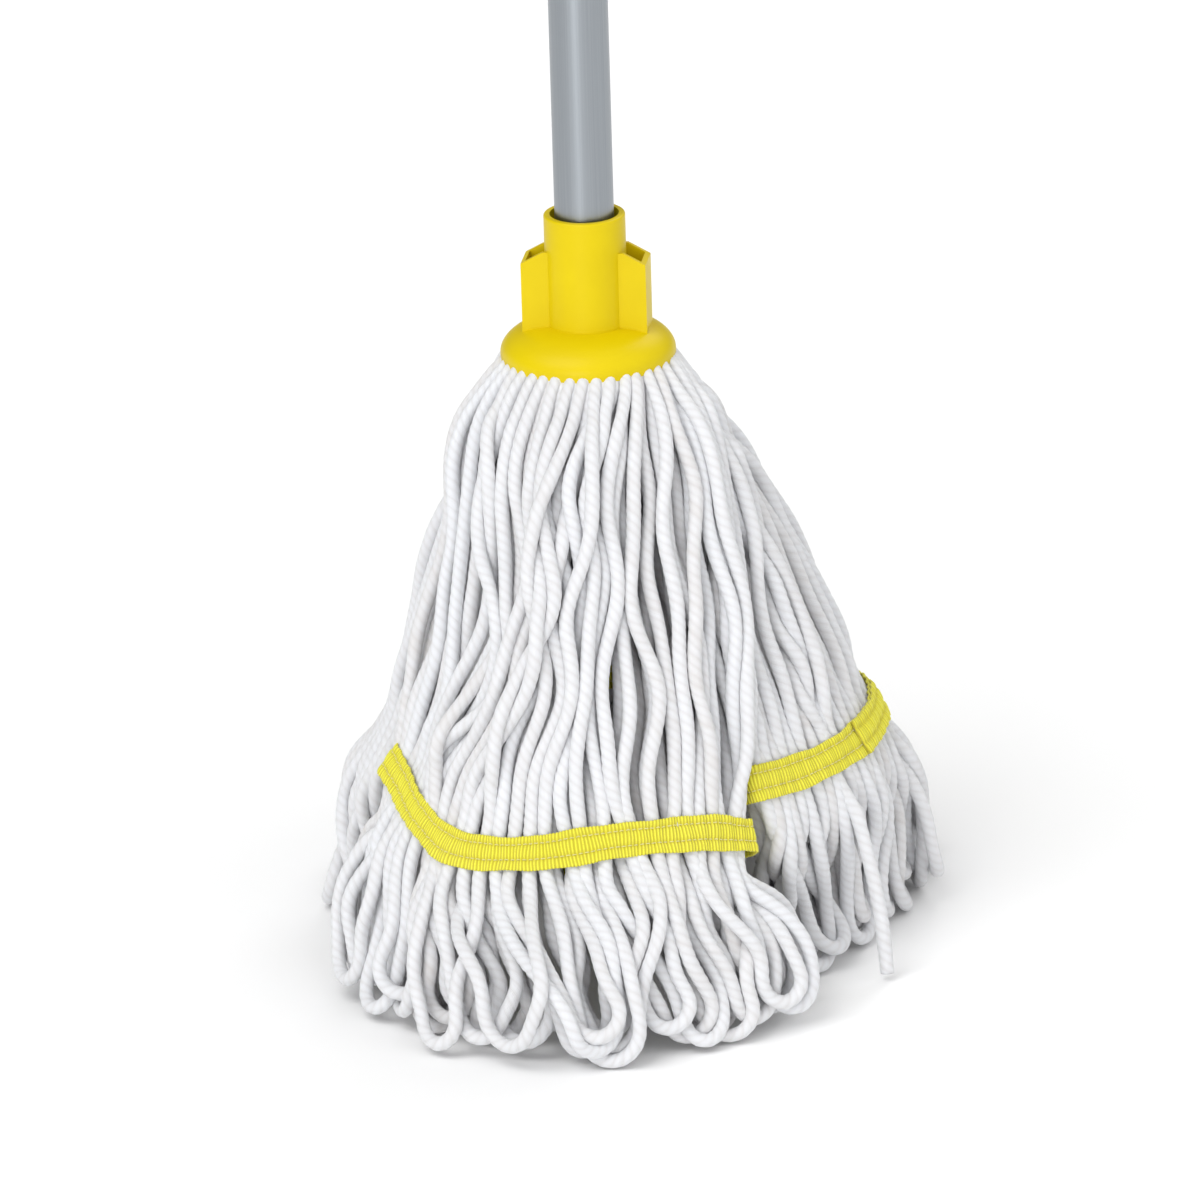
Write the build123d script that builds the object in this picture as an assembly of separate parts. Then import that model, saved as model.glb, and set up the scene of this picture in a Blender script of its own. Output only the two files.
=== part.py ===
from build123d import *
import os
from math import cos, radians, sin

# String mop: a moulded socket with three banded tails of looped cotton yarn, and
# a tubular handle that pushes into the socket.
# Frame: +Z up along the handle, origin on the floor under the handle's axis,
# +X through the socket's right wing, -Y towards the front tail. Millimetres.

# ---- handle ----
handle_diameter = 23.0
handle_wall = 1.2
handle_length = 1370.0  # the tube, end to end
end_plug_depth = 18.0
end_plug_lip = 1.5
end_plug_rounding_share = 0.5  # of the lip's height
cap_plug_depth = 30.0
plug_clearance = 0.04  # radial, plug in tube
grip_wall = 2.5
grip_rounding_share = 0.6  # of the grip's wall, at its lower edge
grip_length = 150.0
grip_groove_depth = 0.8
grip_groove_width = 3.0
grip_groove_pitch = 12.0
grip_end_margin = 18.0  # plain stretch at each end of the grip
cap_height = 46.0
cap_thickness = 12.0  # front to back at the eye
cap_eye_radius = 6.0
cap_edge_radius = 3.0
cap_collar_share = 0.3  # of the cap's height that is round
cap_tab_inset = 1.5  # tab narrower than the collar, each side
cap_tab_rounding = 2.0
cap_tab_root = 4.0  # the tab's length inside the collar

# ---- socket ----
flange_underside = 234.0  # height of the flange's lower edge above the floor
flange_radius = 34.0
dome_rise = 11.5  # from the flange edge to where the dome meets the neck
flange_lip = 2.5  # straight lip below the dome's curve
dome_wall = 2.5
mouth_gap = 1.9  # radial, open round the handle above the grip ribs
neck_wall = 2.4
socket_height = 58.0  # flange underside to rim
rim_rounding = 0.9
web_height = 9.0  # underside of the floor web above the flange's underside
web_thickness = 3.0
grip_rib_count = 6
grip_rib_width = 2.4
grip_rib_lead = 6.0  # ribs start this far below the rim
handle_clearance = 0.06  # radial, handle against ribs

# ---- wings of the socket ----
wing_depth = 8.5  # from the neck to a wing's outer face
wing_width = 16.0  # front to back
wing_wall = 1.8
wing_top_at_neck = 44.0  # above the flange's underside
wing_top_fall = 4.6  # drop from the neck to the outer end
wing_floor = 16.0  # pocket floor above the flange's underside

# ---- clamp inside the dome ----
boss_radius = 4.6
boss_length = 5.0
pilot_radius = 1.5
clamp_radius = 19.0
clamp_neck_radius = 6.0
clamp_thickness = 2.6
clamp_rounding_share = 0.4  # of the plate's thickness
clamp_drop = 8.0  # clamp's underside below the flange's underside
screw_radius = 1.5
screw_head_radius = 3.6
screw_head_height = 2.2
screw_head_rounding_share = 0.45  # of the head's height
screw_slot_width = 0.9
screw_slot_share = 0.4  # of the head's height that is slotted
screw_thread_clearance = 0.02  # radial, screw in its pilot hole
screw_hole_clearance = 0.3
washer_radius = 5.5
washer_thickness = 1.0
tape_thickness = 1.6
tape_turns = 4
piece_clearance = 0.3  # between soft pieces and their neighbours

# ---- yarn ----
mat_thickness = 13.0
locks_per_tail = 4
tail_gap = 4.6  # between neighbouring tails
lock_gap = 0.5  # between neighbouring locks of one tail
first_tail_angle = 190.0
# how far the strands reach over the floor, at every lock boundary from the first
floor_reach = (113, 117, 146, 151, 136, 112, 130, 154, 151, 150, 145, 130)
# height as a share of the flange underside's, and share of the spread out to the floor
skirt_profile = (
    (0.940, 0.15),
    (0.855, 0.25),
    (0.720, 0.36),
    (0.560, 0.49),
    (0.400, 0.63),
    (0.250, 0.77),
    (0.110, 0.89),
    (0.000, 1.00),
)

# ---- bands sewn round the tails ----
band_width = 14.0
band_thickness = 1.2
band_height = 72.0  # middle of the band above the floor
band_clearance = 0.3

rim_height = flange_underside + socket_height
web_bottom = flange_underside + web_height
web_top = web_bottom + web_thickness
handle_radius = handle_diameter / 2
neck_bore_radius = handle_radius + mouth_gap
neck_radius = neck_bore_radius + neck_wall
wing_reach = neck_radius + wing_depth
grip_radius = handle_radius + grip_wall
tube_bore_radius = handle_radius - handle_wall
tube_top = web_top + end_plug_lip + handle_length
lock_count = len(floor_reach)
lock_angle = 360.0 / lock_count
dome_inner_radius = flange_radius - dome_wall


def cylinder(radius, bottom, top):
    return Pos(0, 0, (bottom + top) / 2) * Cylinder(radius, top - bottom)


def ring(outer, inner, bottom, top):
    return cylinder(outer, bottom, top) - cylinder(inner, bottom - 1, top + 1)


def revolved(*outline):
    """A solid turned about the axis from an outline of edges in the XZ plane."""
    return revolve(Plane.XZ * make_face(outline), Axis.Z)


def reach_at(angle):
    """Floor reach at a row angle: straight between the lock boundaries."""
    place = (angle - first_tail_angle) % 360.0 / lock_angle
    low = int(place)
    share = place - low
    near = floor_reach[low % lock_count]
    far = floor_reach[(low + 1) % lock_count]
    return near + (far - near) * share


def spread_at(height):
    """Share of the way from the flange's edge to the floor reach, at a height."""
    share = height / flange_underside
    if share >= skirt_profile[0][0]:
        return skirt_profile[0][1]
    for (upper, wide_upper), (lower, wide_lower) in zip(skirt_profile, skirt_profile[1:]):
        if share >= lower:
            return wide_lower + (wide_upper - wide_lower) * (share - lower) / (upper - lower)
    return 1.0


def skirt_radius(angle, height):
    """Outer radius of the yarn at a row angle and height."""
    return flange_radius + (reach_at(angle) - flange_radius) * spread_at(height)


def around(radius, angle, shift, height):
    """A point at a radius and row angle, moved sideways by a shift, at a height."""
    turn = radians(angle)
    return Vector(
        radius * cos(turn) - shift * sin(turn),
        radius * sin(turn) + shift * cos(turn),
        height,
    )


def mat_section(stops, height, gaps, grow=0.0, outer=None, inner=None):
    """Closed outline of a mat of yarn at one height.

    It runs out along the first stop's side, round the outer face through every
    stop, back along the last side and round the inner face. The gaps are those
    to the planes through the first and last stops.
    """
    if outer is None:
        outer = [skirt_radius(angle, height) for angle in stops]
        outer_mid = [
            skirt_radius((a + b) / 2, height) for a, b in zip(stops, stops[1:])
        ]
        inner = [radius - mat_thickness for radius in outer]
        inner_mid = [radius - mat_thickness for radius in outer_mid]
    else:
        outer_mid = [outer] * (len(stops) - 1)
        inner_mid = [inner] * (len(stops) - 1)
        outer = [outer] * len(stops)
        inner = [inner] * len(stops)
    shifts = [0.0] * len(stops)
    shifts[0] = gaps[0] - grow
    shifts[-1] = grow - gaps[1]
    outside = [
        around(radius + grow, angle, shift, height)
        for radius, angle, shift in zip(outer, stops, shifts)
    ]
    inside = [
        around(radius - grow, angle, shift, height)
        for radius, angle, shift in zip(inner, stops, shifts)
    ]
    edges = []
    for k, (a, b) in enumerate(zip(stops, stops[1:])):
        middle = around(outer_mid[k] + grow, (a + b) / 2, 0.0, height)
        edges.append(ThreePointArc(outside[k], middle, outside[k + 1]))
    edges.append(Line(outside[-1], inside[-1]))
    for k in reversed(range(len(stops) - 1)):
        middle = around(inner_mid[k] - grow, (stops[k] + stops[k + 1]) / 2, 0.0, height)
        edges.append(ThreePointArc(inside[k + 1], middle, inside[k]))
    edges.append(Line(inside[0], outside[0]))
    return Face(Wire(edges))


def socket():
    """One moulding: neck tube with grip ribs, domed flange, floor web and wings."""
    lip_top = flange_underside + flange_lip
    dome_top = lip_top + dome_rise
    inner_top = dome_top - dome_wall
    dome = revolved(
        Line((0, flange_underside), (flange_radius, flange_underside)),
        Line((flange_radius, flange_underside), (flange_radius, lip_top)),
        EllipticalCenterArc(
            (neck_bore_radius, lip_top),
            flange_radius - neck_bore_radius,
            dome_rise,
            start_angle=0,
            arc_size=90,
        ),
        Line((neck_bore_radius, dome_top), (0, dome_top)),
        Line((0, dome_top), (0, flange_underside)),
    )
    hollow = revolved(
        Line((0, flange_underside - 1), (dome_inner_radius, flange_underside - 1)),
        Line((dome_inner_radius, flange_underside - 1), (dome_inner_radius, lip_top)),
        EllipticalCenterArc(
            (neck_bore_radius, lip_top),
            dome_inner_radius - neck_bore_radius,
            inner_top - lip_top,
            start_angle=0,
            arc_size=90,
        ),
        Line((neck_bore_radius, inner_top), (0, inner_top)),
        Line((0, inner_top), (0, flange_underside - 1)),
    )
    neck = cylinder(neck_radius, web_bottom, rim_height)
    neck = fillet(neck.edges().sort_by(Axis.Z)[-1], rim_rounding)
    body = dome - hollow + neck
    wing_bottom = flange_underside + flange_lip + dome_wall
    for side in (1, -1):
        face = make_face(
            Polyline(
                (0, wing_bottom),
                (side * wing_reach, wing_bottom),
                (side * wing_reach, flange_underside + wing_top_at_neck - wing_top_fall),
                (side * neck_radius, flange_underside + wing_top_at_neck),
                (0, flange_underside + wing_top_at_neck),
                close=True,
            )
        )
        wing = extrude(Plane.XZ * face, wing_width / 2, both=True)
        body += wing - hollow
    body -= cylinder(neck_bore_radius, web_top, rim_height + 1)
    for side in (1, -1):
        pocket_outer = wing_reach - wing_wall
        pocket = Pos(side * pocket_outer / 2, 0, flange_underside + wing_floor) * Box(
            pocket_outer,
            wing_width - 2 * wing_wall,
            wing_top_at_neck,
            align=(Align.CENTER, Align.CENTER, Align.MIN),
        )
        body -= pocket - cylinder(neck_radius, flange_underside, rim_height + 1)
    rib_top = rim_height - grip_rib_lead
    for k in range(grip_rib_count):
        rib = Pos(0, 0, web_top) * Box(
            neck_bore_radius + neck_wall / 2,
            grip_rib_width,
            rib_top - web_top,
            align=(Align.MIN, Align.CENTER, Align.MIN),
        )
        rib -= cylinder(handle_radius + handle_clearance, web_top - 1, rib_top + 1)
        body += Rot(0, 0, (k + 0.5) * 360 / grip_rib_count) * rib
    body += cylinder(boss_radius, web_bottom - boss_length, web_bottom)
    body -= cylinder(pilot_radius, web_bottom - boss_length - 1, web_bottom + web_thickness / 2)
    return body


def clamp_heights():
    """Underside and top of the clamp's plate."""
    underside = flange_underside - clamp_drop
    return underside, underside + clamp_thickness


def yarn_clamp():
    """Dished plate and stem that press the middle of the yarn up into the dome."""
    underside, plate_top = clamp_heights()
    stem_top = web_bottom - boss_length - piece_clearance
    plate = cylinder(clamp_radius, underside, plate_top)
    plate = fillet(plate.edges(), clamp_thickness * clamp_rounding_share)
    plate += cylinder(clamp_neck_radius, underside, stem_top)
    return plate - cylinder(screw_radius + screw_hole_clearance, underside - 1, stem_top + 1)


def clamp_washer():
    underside, _ = clamp_heights()
    return ring(
        washer_radius,
        screw_radius + screw_hole_clearance,
        underside - washer_thickness,
        underside,
    )


def clamp_screw():
    """Pan-head screw up through washer and clamp into the socket's boss."""
    underside, _ = clamp_heights()
    seat = underside - washer_thickness
    head = cylinder(screw_head_radius, seat - screw_head_height, seat)
    rounding = screw_head_height * screw_head_rounding_share
    head = fillet(head.edges().sort_by(Axis.Z)[0], rounding)
    slot = Pos(0, 0, seat - screw_head_height) * Box(
        2 * screw_head_radius + 1,
        screw_slot_width,
        2 * screw_head_height * screw_slot_share,
    )
    tip = web_bottom + web_thickness / 2 - 1
    return head - slot + cylinder(screw_radius - screw_thread_clearance, seat, tip)


def head_tape():
    """Binding sewn across the middle of the yarn, held round the clamp's stem."""
    _, plate_top = clamp_heights()
    bottom = plate_top + piece_clearance
    return ring(
        clamp_neck_radius + piece_clearance + tape_turns * tape_thickness,
        clamp_neck_radius + piece_clearance,
        bottom,
        web_bottom - boss_length - piece_clearance,
    )


def yarn_lock(index):
    """One lock of looped yarn: from inside the dome out under the flange to the floor."""
    first = first_tail_angle + index * lock_angle
    stops = (first, first + lock_angle)
    place = index % locks_per_tail
    gaps = (
        tail_gap / 2 if place == 0 else lock_gap / 2,
        tail_gap / 2 if place == locks_per_tail - 1 else lock_gap / 2,
    )
    levels = [
        mat_section(
            stops,
            height,
            gaps,
            outer=dome_inner_radius - piece_clearance,
            inner=clamp_radius + piece_clearance,
        )
        for height in (flange_underside + flange_lip, flange_underside - piece_clearance)
    ]
    heights = [share * flange_underside for share, _ in skirt_profile]
    heights.extend(band_levels())
    for height in sorted(heights, reverse=True):
        levels.append(mat_section(stops, height, gaps))
    return loft(levels, ruled=True)


def band_levels():
    """Heights just above and just below a band, where the mats' outlines are set."""
    half = band_width / 2 + band_clearance
    return band_height + half, band_height - half


def tail_band(tail):
    """Ribbed tape sewn in a closed loop round both faces of one tail."""
    first = first_tail_angle + tail * locks_per_tail * lock_angle
    stops = [first + k * lock_angle for k in range(locks_per_tail + 1)]
    gaps = (tail_gap / 2, tail_gap / 2)
    outer, inner = (
        loft(
            [mat_section(stops, height, gaps, grow=grow) for height in band_levels()],
            ruled=True,
        )
        for grow in (band_clearance + band_thickness, band_clearance)
    )
    slab = Pos(0, 0, band_height) * Box(4 * max(floor_reach), 4 * max(floor_reach), band_width)
    return (outer - inner) & slab


def handle_tube():
    bottom = tube_top - handle_length
    return ring(handle_radius, tube_bore_radius, bottom, tube_top)


def handle_end_plug():
    """Plastic plug that closes the tube's lower end and stands on the socket's web."""
    lip_bottom = web_top
    lip_top = web_top + end_plug_lip
    plug = cylinder(handle_radius, lip_bottom, lip_top)
    plug = fillet(plug.edges().sort_by(Axis.Z)[0], end_plug_lip * end_plug_rounding_share)
    shaft = cylinder(tube_bore_radius - plug_clearance, lip_top, lip_top + end_plug_depth)
    return plug + shaft


def hand_grip():
    """Grooved sleeve over the top of the tube."""
    bottom = tube_top - grip_length
    sleeve = cylinder(grip_radius, bottom, tube_top)
    sleeve = fillet(sleeve.edges().sort_by(Axis.Z)[0], grip_wall * grip_rounding_share)
    sleeve -= cylinder(handle_radius + plug_clearance, bottom - 1, tube_top + 1)
    usable = grip_length - 2 * grip_end_margin
    for k in range(int(usable / grip_groove_pitch) + 1):
        middle = bottom + grip_end_margin + k * grip_groove_pitch
        sleeve -= ring(
            grip_radius + 1,
            grip_radius - grip_groove_depth,
            middle - grip_groove_width / 2,
            middle + grip_groove_width / 2,
        )
    return sleeve


def hanging_cap():
    """End cap plugged into the tube, flattened to a tab with an eye to hang it by."""
    base = tube_top + cap_height * cap_collar_share
    collar = cylinder(grip_radius, tube_top, base)
    collar = fillet(collar.edges().sort_by(Axis.Z)[-1], cap_edge_radius)
    tab_radius = grip_radius - cap_tab_inset
    eye_height = tube_top + cap_height - tab_radius
    outline = make_face(
        [
            Line((tab_radius, base - cap_tab_root), (tab_radius, eye_height)),
            CenterArc((0, eye_height), tab_radius, 0, 180),
            Line((-tab_radius, eye_height), (-tab_radius, base - cap_tab_root)),
            Line((-tab_radius, base - cap_tab_root), (tab_radius, base - cap_tab_root)),
        ]
    )
    tab = extrude(Plane.XZ * outline, cap_thickness / 2, both=True)
    tab = fillet(tab.faces().sort_by(Axis.Z)[-1].edges().filter_by(GeomType.CIRCLE), cap_tab_rounding)
    cap = collar + tab
    cap += cylinder(tube_bore_radius - plug_clearance, tube_top - cap_plug_depth, tube_top)
    return cap - Pos(0, 0, eye_height) * Rot(90, 0, 0) * Cylinder(
        cap_eye_radius, 2 * cap_thickness
    )


tail_names = ("front", "right", "left")
nodes = {
    "socket": socket(),
    "yarn_clamp": yarn_clamp(),
    "clamp_washer": clamp_washer(),
    "clamp_screw": clamp_screw(),
    "head_tape": head_tape(),
    "handle_tube": handle_tube(),
    "handle_end_plug": handle_end_plug(),
    "hand_grip": hand_grip(),
    "hanging_cap": hanging_cap(),
}
for tail, name in enumerate(tail_names):
    nodes[f"{name}_band"] = tail_band(tail)
    for place in range(locks_per_tail):
        nodes[f"{name}_yarn_{place + 1}"] = yarn_lock(tail * locks_per_tail + place)

os.makedirs("parts", exist_ok=True)
for name, shape in nodes.items():
    export_step(shape, f"parts/{name}.step")
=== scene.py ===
"""String mop: looped cotton yarn in three banded tails, a moulded socket and a tubular handle.

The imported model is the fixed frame. Lengths inside the classes are millimetres; they become
metres when a mesh is made.
"""

import logging
import math
from dataclasses import dataclass, field
from enum import Enum

import bpy
import numpy as np
from mathutils import Matrix, Vector


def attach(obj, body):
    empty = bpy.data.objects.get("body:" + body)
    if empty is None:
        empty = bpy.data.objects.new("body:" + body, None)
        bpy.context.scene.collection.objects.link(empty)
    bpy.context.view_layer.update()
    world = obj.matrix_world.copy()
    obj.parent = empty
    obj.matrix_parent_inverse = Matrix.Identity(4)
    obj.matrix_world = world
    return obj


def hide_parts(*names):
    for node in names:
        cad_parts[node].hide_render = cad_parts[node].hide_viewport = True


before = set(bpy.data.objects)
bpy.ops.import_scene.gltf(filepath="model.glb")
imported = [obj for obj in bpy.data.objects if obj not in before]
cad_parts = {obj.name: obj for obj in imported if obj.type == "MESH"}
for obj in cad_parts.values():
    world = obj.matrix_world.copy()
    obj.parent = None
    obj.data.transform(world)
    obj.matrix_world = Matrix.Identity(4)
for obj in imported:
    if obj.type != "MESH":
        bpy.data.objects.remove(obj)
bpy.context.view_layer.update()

MM = 0.001
SEED = 20
HEAD = "mop_head"  # the body that every soft piece rides on
LOG = logging.getLogger("string_mop")

Array = np.ndarray


# ---------------------------------------------------------------- arrays and meshes


def unit(vectors: Array) -> Array:
    """Each vector divided by its length."""
    return vectors / np.maximum(np.linalg.norm(vectors, axis=-1, keepdims=True), 1e-9)


def polar(radius: Array, degrees: Array, height: Array) -> Array:
    """Points at a radius, row angle and height, as x = r cos a, y = r sin a, z = height."""
    angle = np.radians(degrees)
    return np.stack(np.broadcast_arrays(radius * np.cos(angle), radius * np.sin(angle), height), -1)


def through(points: Array, places: Array) -> Array:
    """A smooth line through a few points, read at places from 0 to 1.

    Each span is a cubic whose end slopes are half the step between its neighbours.

    Args:
        points: the values to pass through, one row each, evenly spaced over 0 to 1.
        places: where to read the line.

    Returns:
        One row of values for each place.
    """
    rows = np.asarray(points, float)
    slopes = np.gradient(rows, axis=0)
    spot = np.clip(places, 0, 1) * (len(rows) - 1)
    low = np.minimum(spot.astype(int), len(rows) - 2)
    t = (spot - low)[..., None]
    a, b, da, db = rows[low], rows[low + 1], slopes[low], slopes[low + 1]
    return (
        a * (2 * t**3 - 3 * t**2 + 1)
        + da * (t**3 - 2 * t**2 + t)
        + b * (3 * t**2 - 2 * t**3)
        + db * (t**3 - t**2)
    )


def spline(points: Array, count: int) -> Array:
    """Uniform cubic B-splines that start and end on their first and last points.

    Args:
        points: control points, as lines by points by three.
        count: how many samples each line gets.

    Returns:
        The samples, as lines by count by three.
    """
    first = 2 * points[:, :1] - points[:, 1:2]
    last = 2 * points[:, -1:] - points[:, -2:-1]
    rows = np.concatenate([first, points, last], axis=1)
    spot = np.linspace(0, points.shape[1] - 1, count)
    low = np.minimum(spot.astype(int), points.shape[1] - 2)
    t = (spot - low)[None, :, None]
    a, b, c, d = (rows[:, low + k] for k in range(4))
    return (
        a * (1 - t) ** 3
        + b * (3 * t**3 - 6 * t**2 + 4)
        + c * (-3 * t**3 + 3 * t**2 + 3 * t + 1)
        + d * t**3
    ) / 6


def distance_along(lines: Array) -> Array:
    """Running length of each line, from 0 at its first point."""
    steps = np.linalg.norm(np.diff(lines, axis=1), axis=-1)
    return np.concatenate([np.zeros((len(lines), 1)), np.cumsum(steps, axis=1)], axis=1)


def evened(lines: Array, count: int) -> Array:
    """The same lines with their points evenly spaced along them.

    Args:
        lines: the lines, as lines by points by three.
        count: how many points each line gets.

    Returns:
        The lines, as lines by count by three.
    """
    along = distance_along(lines)
    out = np.empty((len(lines), count, 3))
    for k, line in enumerate(lines):
        places = np.linspace(0, along[k, -1], count)
        out[k] = np.stack([np.interp(places, along[k], line[:, axis]) for axis in range(3)], -1)
    return out


def new_object(name: str, vertices: Array, faces: list[Array]) -> bpy.types.Object:
    """A mesh object in the scene, with its place in its mesh.

    Args:
        name: the piece's name.
        vertices: points in millimetres, one row each.
        faces: arrays of vertex numbers, one row a face, each array with its own face size.

    Returns:
        The new object.
    """
    mesh = bpy.data.meshes.new(name)
    corners = np.concatenate([block.ravel() for block in faces]).astype(np.int32)
    sizes = np.concatenate([np.full(len(block), block.shape[1]) for block in faces])
    starts = np.concatenate([[0], np.cumsum(sizes)[:-1]]).astype(np.int32)
    mesh.vertices.add(len(vertices))
    mesh.vertices.foreach_set("co", (vertices * MM).astype(np.float32).ravel())
    mesh.loops.add(len(corners))
    mesh.loops.foreach_set("vertex_index", corners)
    mesh.polygons.add(len(sizes))
    mesh.polygons.foreach_set("loop_start", starts)
    mesh.update(calc_edges=True)
    mesh.validate()
    mesh.shade_smooth()
    piece = bpy.data.objects.new(name, mesh)
    bpy.context.scene.collection.objects.link(piece)
    LOG.info("%s: %d points, %d faces", name, len(vertices), len(sizes))
    return piece


def point_values(piece: bpy.types.Object, name: str, values: Array) -> None:
    """Stores one number or one vector for each vertex of a piece.

    Args:
        piece: the piece.
        name: the attribute's name, which its finish reads.
        values: one number or one row of three for each vertex.
    """
    kind, key = ("FLOAT", "value") if values.ndim == 1 else ("FLOAT_VECTOR", "vector")
    layer = piece.data.attributes.new(name, kind, "POINT")
    layer.data.foreach_set(key, values.astype(np.float32).ravel())


def grid_faces(rows: int, columns: int, wrap_rows: bool, wrap_columns: bool) -> Array:
    """Four-sided faces of a grid of rows by columns, closed on itself where asked.

    The corner in row i and column j is vertex number i times the columns, plus j.

    Args:
        rows: how many rows of vertices there are.
        columns: how many vertices a row has.
        wrap_rows: whether the last row joins the first.
        wrap_columns: whether the last column joins the first.

    Returns:
        Four vertex numbers for each face.
    """
    i = np.arange(rows if wrap_rows else rows - 1)[:, None]
    j = np.arange(columns if wrap_columns else columns - 1)[None, :]
    below, beside = (i + 1) % rows, (j + 1) % columns
    corner = [i * columns + j, i * columns + beside, below * columns + beside, below * columns + j]
    return np.stack(np.broadcast_arrays(*corner), -1).reshape(-1, 4)


# ---------------------------------------------------------------- finishes


def linear(hex_colour: str) -> tuple[float, float, float, float]:
    """A linear colour from an sRGB hex value.

    Args:
        hex_colour: # and six hexadecimal digits.

    Returns:
        Red, green and blue from 0 to 1, and an alpha of 1.
    """
    parts = [int(hex_colour[k : k + 2], 16) / 255 for k in (1, 3, 5)]
    low = [c / 12.92 if c <= 0.04045 else ((c + 0.055) / 1.055) ** 2.4 for c in parts]
    return (*low, 1.0)


def add(
    material: bpy.types.Material | bpy.types.World,
    kind: str,
    links: dict | None = None,
    **settings: object,
) -> bpy.types.Node:
    """Adds a node to a material or a world.

    Args:
        material: what gets the node.
        kind: the node's type name.
        links: input name or number to a value, or to the socket that feeds it.
        settings: the node's own properties.

    Returns:
        The new node.
    """
    node = material.node_tree.nodes.new(kind)
    for name, value in settings.items():
        setattr(node, name, value)
    for name, value in (links or {}).items():
        if isinstance(value, bpy.types.NodeSocket):
            material.node_tree.links.new(value, node.inputs[name])
        else:
            node.inputs[name].default_value = value
    return node


def blank(name: str) -> tuple[bpy.types.Material, bpy.types.Node]:
    """A new material with its shader joined to its output.

    Args:
        name: the material's name.

    Returns:
        The material and its shader.
    """
    material = bpy.data.materials.new(name)
    material.use_nodes = True
    material.node_tree.nodes.clear()
    shader = add(material, "ShaderNodeBsdfPrincipled")
    add(material, "ShaderNodeOutputMaterial", {"Surface": shader.outputs["BSDF"]})
    return material, shader


def feed(
    material: bpy.types.Material, shader: bpy.types.Node, **sockets: bpy.types.NodeSocket
) -> None:
    """Links sockets to the shader's inputs, each named with _ for a space."""
    for name, socket in sockets.items():
        material.node_tree.links.new(socket, shader.inputs[name.replace("_", " ")])


@dataclass(frozen=True)
class CottonYarn:
    """Bleached cotton yarn, spun and twisted of plies.

    To the eye it is white, soft and quite matt: fine fibres break up the light. The grooves
    between the plies are painted darker, as painted shade, and strands deep in the skirt are
    painted warmer and greyer, as painted shade, over a random tone from strand to strand.
    """

    white: str = "#E4E6EA"
    # The shaded colour comes in by a random tone from strand to strand and, on the deeper layers,
    # as painted shade.
    shaded: str = "#CDC7C2"
    # The groove colour is painted shade in the grooves between the plies.
    groove: str = "#A79D94"
    painted_groove_shade: float = 0.18
    # A cotton fibre is about 0.02 mm wide; bundles of them are drawn, wide enough to show.
    fibre_width: float = 0.45
    fibre_length: float = 5.0

    def build(self) -> bpy.types.Material:
        """Builds the finish; its fibres run along each strand, by the mesh's own attribute.

        Returns:
            The material.
        """
        # Cotton's IOR is 1.5; its reflection is set low, as light sinks in between the fibres.
        material, shader = blank("bleached_cotton_yarn")
        shader.inputs["Roughness"].default_value = 0.9
        shader.inputs["IOR"].default_value = 1.5
        shader.inputs["Specular IOR Level"].default_value = 0.15
        shader.inputs["Sheen Weight"].default_value = 0.35
        shader.inputs["Sheen Roughness"].default_value = 0.6
        fibre = add(material, "ShaderNodeAttribute", attribute_name="fibre")
        tone_and_painted_shade = add(material, "ShaderNodeAttribute", attribute_name="tone_and_painted_shade")
        groove = add(material, "ShaderNodeAttribute", attribute_name="groove")
        stretch = (1 / self.fibre_width, 1 / self.fibre_width, 1 / self.fibre_length)
        along = add(
            material,
            "ShaderNodeMapping",
            {"Vector": fibre.outputs["Vector"], "Scale": stretch},
            vector_type="POINT",
        )
        fibres = add(
            material,
            "ShaderNodeTexNoise",
            {"Vector": along.outputs["Vector"], "Scale": 1.0, "Detail": 3.0, "Roughness": 0.6},
        )
        cloud = add(
            material,
            "ShaderNodeTexNoise",
            {"Vector": fibre.outputs["Vector"], "Scale": 0.12, "Detail": 2.0},
        )
        # The mix towards the shaded colour is a random tone per strand plus painted shade on the
        # deeper layers.
        tone = add(
            material,
            "ShaderNodeMath",
            {0: tone_and_painted_shade.outputs["Fac"], 1: cloud.outputs["Fac"]},
            operation="MULTIPLY",
        )
        base = add(
            material,
            "ShaderNodeMix",
            {"Factor": tone.outputs["Value"], "A": linear(self.white), "B": linear(self.shaded)},
            data_type="RGBA",
        )
        # Painted shade: the grooves between the plies are mixed towards the groove colour.
        deep = add(
            material,
            "ShaderNodeMath",
            {0: groove.outputs["Fac"], 1: self.painted_groove_shade},
            operation="MULTIPLY",
        )
        groove_shade_colour = linear(self.groove)
        colour = add(
            material,
            "ShaderNodeMix",
            {"Factor": deep.outputs["Value"], "A": base.outputs["Result"], "B": groove_shade_colour},
            data_type="RGBA",
        )
        bump = add(
            material,
            "ShaderNodeBump",
            {"Height": fibres.outputs["Fac"], "Strength": 0.8, "Distance": 0.4 * MM},
        )
        feed(material, shader, Base_Color=colour.outputs["Result"], Normal=bump.outputs["Normal"])
        return material


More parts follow.
